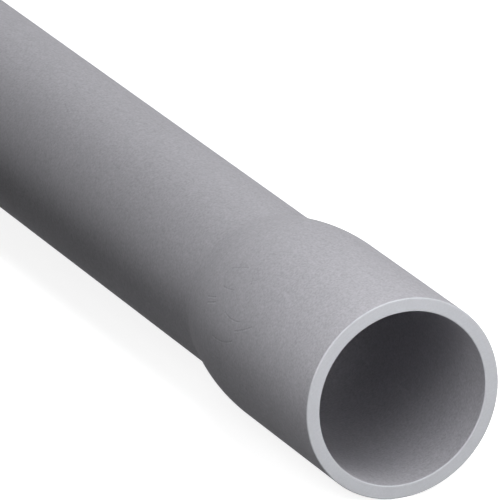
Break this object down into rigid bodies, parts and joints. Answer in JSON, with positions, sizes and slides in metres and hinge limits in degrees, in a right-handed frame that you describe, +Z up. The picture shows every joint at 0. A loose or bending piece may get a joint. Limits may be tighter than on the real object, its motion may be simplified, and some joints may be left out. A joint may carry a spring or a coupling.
{
  "type": "pvc conduit pipe",
  "caption": "Straight rigid plastic conduit with a plain end and a belled socket end, for carrying and protecting electrical wires.",
  "frame": {"origin": "bottom centre of the overall box, on the surface that the bell rests on, halfway along the pipe", "axes": "+X along the pipe towards the bell's mouth, +Z up; the pipe's axis runs one bell radius above the origin"},
  "size_m": [3.048, 0.0698, 0.07],
  "materials": {
    "grey_pvc": "satin, extruded"
  },
  "bodies": {
    "root": {"conduit_pipe": "grey_pvc"}
  },
  "joints": []
}
